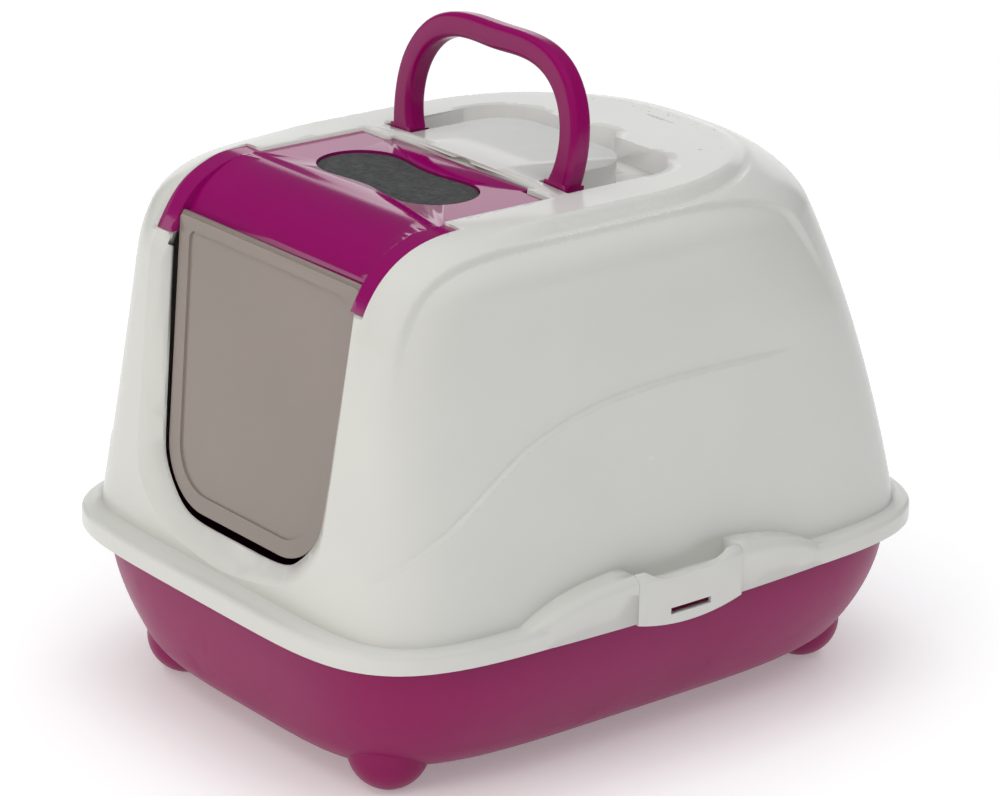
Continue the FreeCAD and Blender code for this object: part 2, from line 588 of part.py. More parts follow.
def visor():
    """Flip-up lid: two legs beside the door, a set-back middle panel, a deck plate and a hinge barrel."""
    t = VISOR_THICKNESS
    legs = profile_band(0.0, t, VISOR_CHEEK_OUTER - 0.5, VISOR_HALF_WIDTH, VISOR_JOG_Y)
    cheek = profile_band(0.0, 15.0, VISOR_CHEEK_INNER, VISOR_CHEEK_OUTER, VISOR_JOG_Y)
    cheek = cheek.cut(block(0, FAR, -172, 0, 0, 358))
    step = profile_band(0.0, t, VISOR_CHEEK_INNER, VISOR_CHEEK_OUTER, VISOR_JOG_Y, 0.0, VISOR_RECESS)
    edge = VISOR_CHEEK_INNER + 0.5
    body = profile_band(0.0, t, -edge, edge, VISOR_JOG_Y, VISOR_RECESS, VISOR_RECESS)
    body = body.cut(block(-VISOR_CHEEK_INNER, VISOR_CHEEK_INNER, -FAR, -100, 0, VISOR_LIP_BOTTOM))
    plate = block(-VISOR_REAR_HALF_WIDTH, VISOR_REAR_HALF_WIDTH, VISOR_JOG_Y - 0.5, VISOR_AXIS.y,
                  VISOR_TOP - t, VISOR_TOP)
    plate = cut_each(plate, [block_clearance(1), block_clearance(-1)])
    barrel_end = BLOCK_INNER - SEAT_GAP
    barrel = rod_x(VISOR_AXIS, VISOR_BARREL_RADIUS, -barrel_end, barrel_end)
    pin_end = BLOCK_INNER + VISOR_PIN_REACH
    pins = rod_x(VISOR_AXIS, VISOR_PIN_RADIUS, -pin_end, pin_end)
    body = fuse_each(body, [plate, barrel, pins] + both_sides(legs) + both_sides(cheek) + both_sides(step))
    below = block(-FAR, FAR, -FAR, -100, 0, VISOR_LEG_BOTTOM)
    window = peanut_prism(0.0, VISOR_TOP - t - 5, VISOR_TOP + 5)
    collar = peanut_prism(COLLAR_OUTER, COLLAR_LOW, VISOR_TOP - t)
    collar = collar.cut(peanut_prism(COLLAR_INNER, COLLAR_LOW - 1, VISOR_TOP))
    socket_end = VISOR_CHEEK_OUTER + 5
    sockets = rod_x(DOOR_AXIS, DOOR_PIN_RADIUS + PIN_CLEARANCE, -socket_end, socket_end)
    body = body.cut([below, window]).fuse(collar)
    return body.cut(sockets).removeSplitter()


def filter_pad():
    """Carbon felt pad, with a raised middle that fills the window from below."""
    edge = peanut_prism(PAD_EDGE, PAD_LOW, VISOR_TOP - VISOR_THICKNESS)
    return edge.fuse(peanut_prism(-0.4, PAD_LOW, VISOR_TOP - PAD_SUNK))


def filter_retainer():
    """Snap-in grid that holds the pad up against the window."""
    low = RETAINER_LOW
    high = COLLAR_LOW
    ring = peanut_prism(COLLAR_OUTER, low, high).cut(peanut_prism(-3.0, low - 1, high + 1))
    half_depth = FILTER_HALF_DEPTH + 10
    half_width = FILTER_HALF_WIDTH + 10
    bars = [block(-half_width, half_width, FILTER_Y - GRID_BAR, FILTER_Y + GRID_BAR, low, high)]
    for i in range(-4, 5):
        x = i * GRID_PITCH
        bars.append(block(x - GRID_BAR, x + GRID_BAR, FILTER_Y - half_depth, FILTER_Y + half_depth, low, high))
    grid = bars[0].fuse(bars[1:]).common(peanut_prism(3.0, low, high))
    lip = peanut_prism(PAD_EDGE, high, PAD_LOW).cut(peanut_prism(0.2, high - 1, VISOR_TOP))
    return ring.fuse([grid, lip]).removeSplitter()


def door_outline(inset, top_inset, y):
    """Door flap seen from the front, hanging from the axis at z = 0."""
    top = DOOR_TOP_HALF_WIDTH - inset
    bottom = DOOR_BOTTOM_HALF_WIDTH - inset
    low = inset - DOOR_HEIGHT
    small = 6.0 if top_inset else 3.0
    corners = [(top, -top_inset), (-top, -top_inset), (-bottom, low), (bottom, low)]
    wire = rounded_polygon(corners, [small, small, DOOR_CORNER - inset, DOOR_CORNER - inset])
    wire.rotate(V(0, 0, 0), V(1, 0, 0), 90)
    wire.translate(V(0, y, 0))
    return wire


def door_flap():
    """Clear swing door: a thin pane with a thicker border, a hinge bar and a pin at each top corner."""
    thickness = V(0, DOOR_THICKNESS, 0)
    half = DOOR_TOP_HALF_WIDTH
    pane = Part.Face(door_outline(0.0, 0.0, DOOR_FRONT)).extrude(thickness)
    dip = Part.Face(door_outline(DOOR_BORDER, 8.0, DOOR_FRONT + DOOR_DIP - DOOR_THICKNESS)).extrude(thickness)
    bar = rod_x(V(0, 0, 0), DOOR_BAR_RADIUS, -half, half)
    web = block(-half, half, DOOR_FRONT + 1.0, 0, -DOOR_BAR_RADIUS, 0)
    pin_end = VISOR_CHEEK_OUTER - DOOR_END_GAP
    pins = rod_x(V(0, 0, 0), DOOR_PIN_RADIUS, -pin_end, pin_end)
    body = pane.cut(dip).fuse([bar, web, pins])
    body.rotate(V(0, 0, 0), V(1, 0, 0), DOOR_LEAN_DEG)
    body.translate(DOOR_AXIS)
    return body.removeSplitter()


# ---- handle and clips ---------------------------------------------------------------------------
# Right half of the handle's outer and inner edges, seen from the front, up from its feet.
HANDLE_OUTER = [(91.0, 8.0), (93.4, 34.0), (90.4, 53.0), (80.5, 72.0), (65.5, 85.6), (43.0, 93.6), (0, 95.0)]
HANDLE_INNER = [(70.0, 8.0), (76.0, 39.0), (70.0, 57.0), (57.0, 70.6), (41.0, 77.0), (0, 78.0)]


def handle():
    """Carrying handle: one bent bar with rounded edges, a round foot and a pivot pin at each end."""
    half_depth = HANDLE_DEPTH / 2
    foot_outer, foot_top = HANDLE_OUTER[0]
    foot_inner = HANDLE_INNER[0][0]
    edges = []
    for points in (HANDLE_OUTER, HANDLE_INNER):
        whole = points + [(-x, z) for x, z in reversed(points[:-1])]
        curve = Part.BSplineCurve()
        curve.interpolate(Points=[V(x, 0, z) for x, z in whole])
        edges.append(curve.toShape())
    for side in (1, -1):
        outer_end = V(side * foot_outer, 0, foot_top)
        inner_end = V(side * foot_inner, 0, foot_top)
        edges.append(Part.LineSegment(outer_end, inner_end).toShape())
    body = Part.Face(Part.Wire(Part.__sortEdges__(edges))).extrude(V(0, HANDLE_DEPTH, 0))
    body.translate(V(0, -half_depth, 0))
    long_edges = [e for e in body.Edges if e.BoundBox.XLength > foot_outer]
    body = body.makeFillet(HANDLE_ROUND, long_edges)
    reach = GROOVE_HALF_WIDTH + WALL
    for side in (1, -1):
        foot = rod_x(V(0, 0, 0), half_depth, foot_inner, foot_outer)
        foot = foot.fuse(block(foot_inner, foot_outer, -half_depth, half_depth, 0, foot_top + 1))
        foot = foot.fuse(rod_x(V(0, 0, 0), HANDLE_PIN_RADIUS, foot_outer - 3, reach))
        body = body.fuse(foot if side > 0 else foot.mirror(V(0, 0, 0), V(1, 0, 0)))
    body.rotate(V(0, 0, 0), V(1, 0, 0), HANDLE_LEAN_DEG)
    body.translate(HANDLE_AXIS)
    return body.removeSplitter()


def clip_roof(inset):
    """Space under the round that the clip's face makes towards its top."""
    low = CLIP_Y - CLIP_HALF_LENGTH - 1
    length = 2 * CLIP_HALF_LENGTH + 2
    centre = V(CLIP_FACE - CLIP_ROOF_RADIUS, low, CLIP_ROOF_Z)
    turn = Part.makeCylinder(CLIP_ROOF_RADIUS - inset, length, centre, V(0, 1, 0))
    return turn.fuse(block(0, FAR, low, low + length, 0, CLIP_ROOF_Z))


def clip_face_prism(inset):
    """Space behind the clip's gently bowed outer face."""
    root = CLIP_BACK - 15.0
    base = CLIP_BOTTOM_Z - 10.0
    end = CLIP_FACE - CLIP_BOW - inset
    low = CLIP_Y - CLIP_HALF_LENGTH - 1
    high = CLIP_Y + CLIP_HALF_LENGTH + 1
    corners = [V(end, high, base), V(root, high, base), V(root, low, base), V(end, low, base)]
    edges = [Part.Arc(corners[-1], V(CLIP_FACE - inset, CLIP_Y, base), corners[0]).toShape()]
    for here, there in zip(corners, corners[1:]):
        edges.append(Part.LineSegment(here, there).toShape())
    return Part.Face(Part.Wire(edges)).extrude(V(0, 0, 60))


def clip():
    """Side clip on +X: a curved plate with two ears, a finger slot and end walls, hung on two pins."""
    low = CLIP_Y - CLIP_HALF_LENGTH
    high = CLIP_Y + CLIP_HALF_LENGTH
    half = [(0, 0), (8.0, 0.2), (15.0, CLIP_DIP_Z + 2.6 - CLIP_EAR_Z), (22.0, CLIP_DIP_Z + 0.6 - CLIP_EAR_Z)]
    crest = [(low + along, CLIP_EAR_Z + up) for along, up in half] + [(CLIP_Y, CLIP_DIP_Z)]
    crest += [(high - along, CLIP_EAR_Z + up) for along, up in reversed(half)]
    low_corner = V(CLIP_BACK, low, CLIP_CORNER_Z)
    high_corner = V(CLIP_BACK, high, CLIP_CORNER_Z)
    edges = [
        spline_yz(crest, CLIP_BACK).toShape(),
        Part.Arc(low_corner, V(CLIP_BACK, CLIP_Y, CLIP_BOTTOM_Z), high_corner).toShape(),
        Part.LineSegment(V(CLIP_BACK, low, CLIP_EAR_Z), low_corner).toShape(),
        Part.LineSegment(V(CLIP_BACK, high, CLIP_EAR_Z), high_corner).toShape(),
    ]
    body = Part.Face(Part.Wire(Part.__sortEdges__(edges))).extrude(V(15, 0, 0))
    body = body.common(clip_face_prism(0.0)).common(clip_roof(0.0))
    inside = clip_face_prism(CLIP_PLATE).common(clip_roof(CLIP_PLATE))
    hollow = block(0, FAR, low + CLIP_PLATE, high - CLIP_PLATE, CLIP_CORNER_Z, CLIP_AXIS_Z - 3.0)
    hollow = hollow.common(inside)
    slot = block(0, FAR, CLIP_Y - CLIP_SLOT_HALF_LENGTH, CLIP_Y + CLIP_SLOT_HALF_LENGTH, CLIP_SLOT_LOW,
                 CLIP_SLOT_HIGH)
    body = cut_each(body, [hollow, slot])
    return body.fuse(clip_pins(CLIP_PIN_RADIUS, CLIP_HALF_LENGTH + CLIP_PIN_REACH)).removeSplitter()


def build():
    right_clip = clip()
    return {
        "tray": tray(),
        "hood": hood(),
        "visor": visor(),
        "door_flap": door_flap(),
        "filter_pad": filter_pad(),
        "filter_retainer": filter_retainer(),
        "handle": handle(),
        "clip_right": right_clip,
        "clip_left": right_clip.mirror(V(0, 0, 0), V(1, 0, 0)),
    }


os.makedirs("parts", exist_ok=True)
for node, shape in build().items():
    shape.exportStep(os.path.join("parts", node + ".step"))
    box = shape.optimalBoundingBox(True, False)
    print(node, "solids", len(shape.Solids), "valid", shape.isValid(), "volume", round(shape.Volume / 1000, 1),
          "box", [round(n, 1) for n in (box.XMin, box.XMax, box.YMin, box.YMax, box.ZMin, box.ZMax)])
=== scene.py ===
import math

import bmesh
import bpy
import numpy as np
from mathutils import Matrix, Vector, noise


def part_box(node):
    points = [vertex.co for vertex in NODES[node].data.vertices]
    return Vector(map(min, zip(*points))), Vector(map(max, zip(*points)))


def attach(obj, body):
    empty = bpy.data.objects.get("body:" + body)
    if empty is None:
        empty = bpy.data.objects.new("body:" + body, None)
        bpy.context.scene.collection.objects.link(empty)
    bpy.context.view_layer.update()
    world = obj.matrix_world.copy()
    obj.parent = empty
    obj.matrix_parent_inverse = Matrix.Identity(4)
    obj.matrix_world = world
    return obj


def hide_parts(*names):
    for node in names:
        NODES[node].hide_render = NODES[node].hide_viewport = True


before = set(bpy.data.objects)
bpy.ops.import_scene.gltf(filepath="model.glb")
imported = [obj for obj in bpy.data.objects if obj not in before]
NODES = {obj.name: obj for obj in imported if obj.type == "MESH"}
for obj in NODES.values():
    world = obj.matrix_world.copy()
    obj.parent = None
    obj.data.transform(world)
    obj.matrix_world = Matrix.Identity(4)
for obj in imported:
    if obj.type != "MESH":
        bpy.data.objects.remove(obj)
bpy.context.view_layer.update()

# Looks of the hooded cat litter box. Everything is in metres in the model's own frame, except the
# hood's and the tray's surface formulas, which work in millimetres like the design they follow.

MM = 0.001

# ---- camera -------------------------------------------------------------------------------------
AZIMUTH = math.radians(50.73)       # from -Y towards +X
ELEVATION = math.radians(20.16)
ROLL = math.radians(1.26)
DISTANCE = 2.597
AIM = Vector((0.0, 0.0, 0.180))
SIDE_STEP = (-0.0004, 0.0107)       # small move of the camera in its own plane
LENS = 139.18                       # on a 36 mm wide sensor


def make_camera():
    back = Vector((math.sin(AZIMUTH) * math.cos(ELEVATION),
                   -math.cos(AZIMUTH) * math.cos(ELEVATION),
                   math.sin(ELEVATION)))
    level = Vector((0, 0, 1)).cross(back).normalized()
    upright = back.cross(level)
    right = level * math.cos(ROLL) + upright * math.sin(ROLL)
    up = upright * math.cos(ROLL) - level * math.sin(ROLL)
    data = bpy.data.cameras.new("camera")
    data.lens = LENS
    data.sensor_width = 36.0
    data.clip_start = 0.05
    camera = bpy.data.objects.new("camera", data)
    bpy.context.scene.collection.objects.link(camera)
    frame_axes = Matrix((right, up, back)).transposed().to_4x4()
    place = AIM + back * DISTANCE + right * SIDE_STEP[0] + up * SIDE_STEP[1]
    camera.matrix_world = Matrix.Translation(place) @ frame_axes
    bpy.context.scene.camera = camera


# ---- materials ----------------------------------------------------------------------------------
class Shader:
    """Small helper that adds nodes to one material."""

    def __init__(self, name):
        self.material = bpy.data.materials.new(name)
        self.material.use_nodes = True
        self.tree = self.material.node_tree
        self.surface = self.tree.nodes["Principled BSDF"]
        self.place = self.add("ShaderNodeTexCoord").outputs["Object"]

    def add(self, kind, **settings):
        node = self.tree.nodes.new(kind)
        for key, value in settings.items():
            setattr(node, key, value)
        return node

    def link(self, output, target):
        self.tree.links.new(output, target)

    def set(self, **values):
        for key, value in values.items():
            self.surface.inputs[key.replace("_", " ")].default_value = value

    def noise(self, scale, detail=3.0, roughness=0.5, stretch=None):
        node = self.add("ShaderNodeTexNoise")
        node.inputs["Scale"].default_value = scale
        node.inputs["Detail"].default_value = detail
        node.inputs["Roughness"].default_value = roughness
        source = self.place
        if stretch:
            mapping = self.add("ShaderNodeMapping")
            mapping.inputs["Scale"].default_value = stretch
            self.link(self.place, mapping.inputs["Vector"])
            source = mapping.outputs["Vector"]
        self.link(source, node.inputs["Vector"])
        return node.outputs["Fac"]

    def span(self, value, low, high, to_low, to_high):
        node = self.add("ShaderNodeMapRange")
        numbers = {"From Min": low, "From Max": high, "To Min": to_low, "To Max": to_high}
        for socket, number in numbers.items():
            node.inputs[socket].default_value = number
        self.link(value, node.inputs["Value"])
        return node.outputs["Result"]

    def mix(self, factor, first, second):
        node = self.add("ShaderNodeMix", data_type="RGBA")
        self.link(factor, node.inputs["Factor"])
        for socket, colour in ((node.inputs["A"], first), (node.inputs["B"], second)):
            if isinstance(colour, tuple):
                socket.default_value = (*colour, 1.0)
            else:
                self.link(colour, socket)
        return node.outputs["Result"]

    def bump(self, height, strength, distance, under=None):
        node = self.add("ShaderNodeBump")
        node.inputs["Strength"].default_value = strength
        node.inputs["Distance"].default_value = distance
        self.link(height, node.inputs["Height"])
        if under is not None:
            self.link(under, node.inputs["Normal"])
        return node.outputs["Normal"]


def moulded(name, light, dark, roughness, spread, grain, coat=0.0, specular=0.5):
    """Moulded plastic: faint mottling, a fine grain, slow waviness, uneven gloss and scuffed patches."""
    s = Shader(name)
    mottling = s.span(s.noise(9.0, 4.0), 0.35, 0.65, 0.0, 1.0)
    s.link(s.mix(mottling, light, dark), s.surface.inputs["Base Color"])
    wear = s.span(s.noise(38.0, 8.0, 0.68), 0.56, 0.72, 0.0, 1.0)
    smooth = s.span(s.noise(14.0, 5.0, 0.6), 0.3, 0.7, roughness - spread, roughness + spread)
    scuffed = s.add("ShaderNodeMath", operation="MULTIPLY_ADD")
    s.link(wear, scuffed.inputs[0])
    scuffed.inputs[1].default_value = spread * 1.5
    s.link(smooth, scuffed.inputs[2])
    s.link(scuffed.outputs[0], s.surface.inputs["Roughness"])
    wave = s.bump(s.noise(7.0, 2.0), 0.10, 0.0016)
    fine = s.bump(s.noise(900.0, 3.0, 0.6), grain, 0.00006, wave)
    s.link(fine, s.surface.inputs["Normal"])
    s.set(Specular_IOR_Level=specular, IOR=1.49, Coat_Weight=coat, Coat_Roughness=0.08)
    return s.material


def smoked(name, light, dark, clear, roughness):
    """Cloudy translucent plastic of the swing door."""
    s = Shader(name)
    cloud = s.span(s.noise(6.0, 4.0), 0.3, 0.7, 0.0, 1.0)
    s.link(s.mix(cloud, light, dark), s.surface.inputs["Base Color"])
    s.link(s.span(s.noise(30.0, 5.0, 0.6), 0.3, 0.7, roughness - 0.05, roughness + 0.05),
           s.surface.inputs["Roughness"])
    s.link(s.bump(s.noise(1100.0, 2.0), 0.12, 0.00005, s.bump(s.noise(10.0, 2.0), 0.08, 0.001)),
           s.surface.inputs["Normal"])
    s.set(Transmission_Weight=clear, IOR=1.49, Specular_IOR_Level=0.5)
    return s.material


def felt(name):
    """Dark carbon felt: matted fibres, light flecks and a soft sheen."""
    s = Shader(name)
    fibres = s.noise(650.0, 6.0, 0.75, stretch=(1.0, 0.25, 1.0))
    cross = s.noise(520.0, 6.0, 0.75, stretch=(0.25, 1.0, 1.0))
    clump = s.noise(160.0, 4.0, 0.65)
    matted = s.mix(s.span(fibres, 0.38, 0.68, 0.0, 1.0), (0.016, 0.018, 0.018), (0.078, 0.082, 0.080))
    crossed = s.mix(s.span(cross, 0.45, 0.75, 0.0, 0.7), matted, (0.125, 0.128, 0.126))
    clumped = s.mix(s.span(clump, 0.3, 0.7, 0.0, 0.5), crossed, (0.034, 0.036, 0.036))
    s.link(clumped, s.surface.inputs["Base Color"])
    s.link(s.span(clump, 0.3, 0.7, 0.88, 1.0), s.surface.inputs["Roughness"])
    s.link(s.bump(cross, 0.7, 0.0005, s.bump(fibres, 0.7, 0.0005)), s.surface.inputs["Normal"])
    s.set(Specular_IOR_Level=0.12, Sheen_Weight=0.12, Sheen_Roughness=0.5)
    return s.material


# name, two colours that mottle into each other, roughness, its spread, depth of the grain
HOOD_WHITE = moulded("hood_white", (0.665, 0.660, 0.630), (0.645, 0.642, 0.615), 0.22, 0.03, 0.08)
ACCENT = moulded("accent_magenta", (0.270, 0.0006, 0.118), (0.250, 0.0005, 0.109), 0.10, 0.02, 0.04,
                 coat=0.2)
HANDLE = moulded("handle_magenta", (0.262, 0.0010, 0.105), (0.245, 0.0009, 0.098), 0.20, 0.03, 0.10,
                 specular=0.28)
TRAY_MAGENTA = moulded("tray_magenta", (0.262, 0.006, 0.094), (0.243, 0.005, 0.087), 0.36, 0.05, 0.30,
                       specular=0.25)
RETAINER = moulded("retainer_magenta", (0.25, 0.002, 0.11), (0.23, 0.002, 0.10), 0.35, 0.05, 0.2)
DOOR_PANE = smoked("door_pane", (0.392, 0.322, 0.286), (0.366, 0.300, 0.266), 0.22, 0.40)
DOOR_BORDER = smoked("door_border", (0.470, 0.392, 0.355), (0.440, 0.366, 0.331), 0.45, 0.16)
FELT = felt("carbon_felt")


# ---- surfaces of the hood and the tray, in millimetres -------------------------------------------
def roll(z, start, top):
    """Quarter-circle roll-over: 0 at its start height, 1 at the top."""
    t = np.clip((z - start) / (top - start), 0.0, 1.0)
    return 1.0 - np.sqrt(np.maximum(1.0 - t * t, 0.0))


DECK = 364.0                        # height of the hood's deck
HOOD_BASE = 120.0                   # level from which the hood's walls are measured
HOOD_HALF, HOOD_FRONT, HOOD_REAR = 182.5, 231.0, 235.0
FRONT_POWER = 7.0                   # squareness of the plan's front half, a superellipse
REAR_POWER_LOW, REAR_POWER_DROP = 6.5, 3.9
HOOD_SKIN = (119.5, DECK)           # heights between which the hood's skin is rebuilt

TRAY_BASE = 8.0                     # underside of the tray, above its feet
TRAY_FLARE_HEIGHT = 97.0
TRAY_HALF, TRAY_LENGTH = 144.0, 206.0
TRAY_FLARE_HALF, TRAY_FLARE_LENGTH = 46.0, 27.0
TRAY_EDGE = 26.0                    # radius of the tray's rounded bottom edge
TRAY_SKIN = (TRAY_BASE, 118.0)


def hood_reach(angle, z):
    """Distance of the hood's wall from the middle axis, by direction and height."""
    rise = np.clip(z - HOOD_BASE, 0.0, DECK - HOOD_BASE)
    shoulder = roll(z, 330.0, DECK)
    half = HOOD_HALF - 0.449 * rise ** 0.755 - 45.0 * shoulder
    front = HOOD_FRONT - 0.1125 * rise - 60.0 * roll(z, 300.0, DECK)
    rear = HOOD_REAR - 0.0173 * rise ** 1.466 - 30.0 * shoulder
    rear_power = REAR_POWER_LOW - REAR_POWER_DROP * (rise / (DECK - HOOD_BASE)) ** 1.1
    c, s = np.abs(np.cos(angle)), np.sin(angle)
    depth = np.where(s > 0, rear, front)
    power = np.where(s > 0, rear_power, FRONT_POWER)
    return ((c / half) ** power + np.abs(s / depth) ** power) ** (-1.0 / power)


def tray_reach(angle, z):
    """Distance of the tray's wall from the middle axis, by direction and height."""
    t = np.clip((z - TRAY_BASE) / TRAY_FLARE_HEIGHT, 0.0, 1.0)
    flare = 1.0 - (1.0 - t) ** 1.95
    under = np.clip(TRAY_EDGE - (z - TRAY_BASE), 0.0, TRAY_EDGE)
    edge = TRAY_EDGE - np.sqrt(np.maximum(TRAY_EDGE ** 2 - under ** 2, 0.0))
    half = TRAY_HALF + TRAY_FLARE_HALF * flare - edge
    length = TRAY_LENGTH + TRAY_FLARE_LENGTH * flare - edge
    power = 4.4 + 0.5 * t
    c, s = np.abs(np.cos(angle)), np.abs(np.sin(angle))
    return ((c / half) ** power + (s / length) ** power) ** (-1.0 / power)


def gap_to(reach, points):
    """Distance outside the surface, measured away from the middle axis."""
    angle = np.arctan2(points[:, 1], points[:, 0])
    return np.hypot(points[:, 0], points[:, 1]) - reach(angle, points[:, 2])


def slope_of(reach, points, low, high):
    """Gradient of the gap, by differences that stay between the surface's lowest and highest level."""
    step = 0.02
    out = np.zeros_like(points)
    for axis in range(3):
        ahead, behind = points.copy(), points.copy()
        ahead[:, axis] += step
        behind[:, axis] -= step
        if axis == 2:
            ahead[:, 2] = np.minimum(ahead[:, 2], high)
            behind[:, 2] = np.maximum(behind[:, 2], low)
        width = np.maximum(ahead[:, axis] - behind[:, axis], 1e-6)
        out[:, axis] = (gap_to(reach, ahead) - gap_to(reach, behind)) / width
    return out


def onto(reach, points, low, high):
    """Moves points onto the surface along its gradient."""
    points = points.copy()
    for _ in range(4):
        slope = slope_of(reach, points, low, high)
        size = np.maximum((slope ** 2).sum(1), 1e-9)
        move = slope * (gap_to(reach, points) / size)[:, None]
        length = np.maximum(np.linalg.norm(move, axis=1), 1e-9)
        points -= move * np.minimum(1.0, 2.0 / length)[:, None]
        points[:, 2] = np.clip(points[:, 2], low, high)
    return points


def smoothstep(x):
    x = np.clip(x, 0.0, 1.0)
    return x * x * (3.0 - 2.0 * x)


# The swoosh on each side, seen from the side: y and z of its crest.
SWOOSH = [(-232, 143.0), (-219, 158.5), (-196, 177.0), (-173, 192.0), (-146, 211.5), (-119, 229.0),
          (-87, 241.0), (-55, 248.0), (-13, 252.0), (29, 252.6), (68, 252.0), (107, 251.0), (130, 250.0)]
SWOOSH_HEIGHT = 2.8


def smooth_curve(table, at):
    """Cubic curve through listed points, read at the given places."""
    x = np.array([p[0] for p in table], float)
    y = np.array([p[1] for p in table], float)
    slope = np.gradient(y, x)
    i = np.clip(np.searchsorted(x, at) - 1, 0, len(x) - 2)
    width = x[i + 1] - x[i]
    t = np.clip((at - x[i]) / width, 0.0, 1.0)
    a, b = y[i], y[i + 1]
    return (a * (1 + 2 * t) * (1 - t) ** 2 + slope[i] * width * t * (1 - t) ** 2
            + b * t * t * (3 - 2 * t) + slope[i + 1] * width * t * t * (t - 1))


# The rear edge of each side panel, as z and y, and where its upper edge runs beside the deck.
PANEL_REAR = [(250, 172), (268, 165), (292, 156), (316, 143), (340, 126), (355, 104), (364, 86)]
PANEL_X = 139.0
PANEL_BLEND = 8.0                   # how softly the two edges run into each other
PANEL_DEPTH = 3.4


def swoosh_gap(p):
    """Height above the swoosh's crest, roughly square to it."""
    y = p[:, 1]
    crest = smooth_curve(SWOOSH, y)
    lean = (smooth_curve(SWOOSH, y + 2.0) - smooth_curve(SWOOSH, y - 2.0)) / 4.0
    return (p[:, 2] - crest) / np.sqrt(1.0 + lean ** 2)


def swoosh_height(p):
    """How far the side stands proud: a step along the crest that fades out below it and at its ends."""
    ends = smoothstep((p[:, 1] + 228.0) / 50.0) * smoothstep((118.0 - p[:, 1]) / 60.0)
    gap = swoosh_gap(p)
    step = smoothstep((1.6 - gap) / 3.2)
    fade = np.exp(-(np.maximum(-gap, 0.0) / 55.0) ** 2)
    return SWOOSH_HEIGHT * ends * step * fade * (np.abs(p[:, 0]) > 60.0)


def panel_gap(p):
    """How far inside the side panel a point is: positive on the panel, negative on the proud bands."""
    beside = np.abs(p[:, 0]) - PANEL_X
    ahead = smooth_curve(PANEL_REAR, p[:, 2]) - p[:, 1]
    lower = np.minimum(beside, ahead)
    blend = np.maximum(PANEL_BLEND - np.abs(beside - ahead), 0.0) / PANEL_BLEND
    return lower - blend * blend * PANEL_BLEND * 0.25


def panel_depth(p):
    """Recess of the side panel along its edge, which fades out below and away from the edge."""
    gap = panel_gap(p)
    step = smoothstep((gap + 1.0) / 5.0)
    away = np.exp(-(np.maximum(gap - 4.0, 0.0) / 26.0) ** 2)
    low_fade = smoothstep((p[:, 2] - 262.0) / 70.0)
    return PANEL_DEPTH * step * away * low_fade


PLATEAU_X = 129.0                   # half width of the deck's flat plateau
PLATEAU_REAR = 150.0
PLATEAU_POWER = 2.5
VALLEY_DEPTH = 3.4                  # soft valley round the plateau

LINE_Y = 133.5                      # short line moulded across the rear of the deck
LINE_HALF = 14.0
LINE_DEPTH = 0.45


def plateau_gap(p):
    """Plan distance outside the edge of the deck's plateau."""
    x = np.abs(p[:, 0])
    y = p[:, 1]
    r = np.hypot(x, np.maximum(y, 0.0) * PLATEAU_X / PLATEAU_REAR)
    angle = np.arctan2(np.maximum(y, 0.0) / PLATEAU_REAR, np.maximum(x, 1e-6) / PLATEAU_X)
    c, s = np.abs(np.cos(angle)), np.abs(np.sin(angle))
    edge = PLATEAU_X * (c ** PLATEAU_POWER + s ** PLATEAU_POWER) ** (-1.0 / PLATEAU_POWER)
    return r - edge


def plateau_rise(p):
    """Vertical move that flattens the plateau out to its edge and cuts a soft valley outside it."""
    gap = plateau_gap(p)
    side = smoothstep((p[:, 1] + 128.0) / 70.0)
    rear_fade = 1.0 - 0.75 * smoothstep((p[:, 1] - 95.0) / 50.0)
    level = smoothstep((2.0 - gap) / 5.0)
    raise_to = (DECK - p[:, 2]) * level
    valley = -VALLEY_DEPTH * np.exp(-((gap - 6.0) / 3.6) ** 2)
    return (raise_to + valley) * side * rear_fade * (p[:, 2] > 335.0)


def engraving(p):
    """Short shallow line moulded in the deck behind the handle's groove."""
    across = np.exp(-((p[:, 1] - LINE_Y) / 0.55) ** 2)
    along = smoothstep((LINE_HALF - np.abs(p[:, 0])) / 1.0)
    return -LINE_DEPTH * across * along * (p[:, 2] > 355.0)


def hood_shape(points, normals):
    """Displaces points of the hood's base surface by its panels, steps and creases."""
    out = points + normals * (swoosh_height(points) - panel_depth(points))[:, None]
    out[:, 2] += plateau_rise(points) + engraving(points)
    return out


def hood_fineness(points):
    """Edge length that the mesh should have at each point."""
    length = np.full(len(points), 8.0)
    high = points[:, 2] > 255.0
    near_panel = (np.abs(panel_gap(points)) < 9.0) & high
    near_swoosh = (np.abs(swoosh_gap(points)) < 4.5) & (np.abs(points[:, 0]) > 100.0)
    near_swoosh &= (points[:, 1] > -226.0) & (points[:, 1] < 118.0)
    near_plateau = (np.abs(plateau_gap(points) - 3.0) < 11.0) & (points[:, 2] > 340.0)
    length[near_panel | near_plateau] = 2.4
    length[near_swoosh] = 1.7
    near_line = (np.abs(points[:, 1] - LINE_Y) < 2.2) & (np.abs(points[:, 0]) < LINE_HALF + 2.0)
    near_line &= points[:, 2] > 355.0
    length[near_line] = 0.7
    return length


# ---- refined copies of CAD pieces ----------------------------------------------------------------
def cad_islands(mesh):
    """Number of the CAD face that each polygon belongs to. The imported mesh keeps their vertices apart."""
    parent = list(range(len(mesh.vertices)))

    def root(i):
        while parent[i] != i:
            parent[i] = parent[parent[i]]
            i = parent[i]
        return i

    for polygon in mesh.polygons:
        first = root(polygon.vertices[0])
        for v in polygon.vertices[1:]:
            other = root(v)
            if other != first:
                parent[other] = first
    return [root(polygon.vertices[0]) for polygon in mesh.polygons]


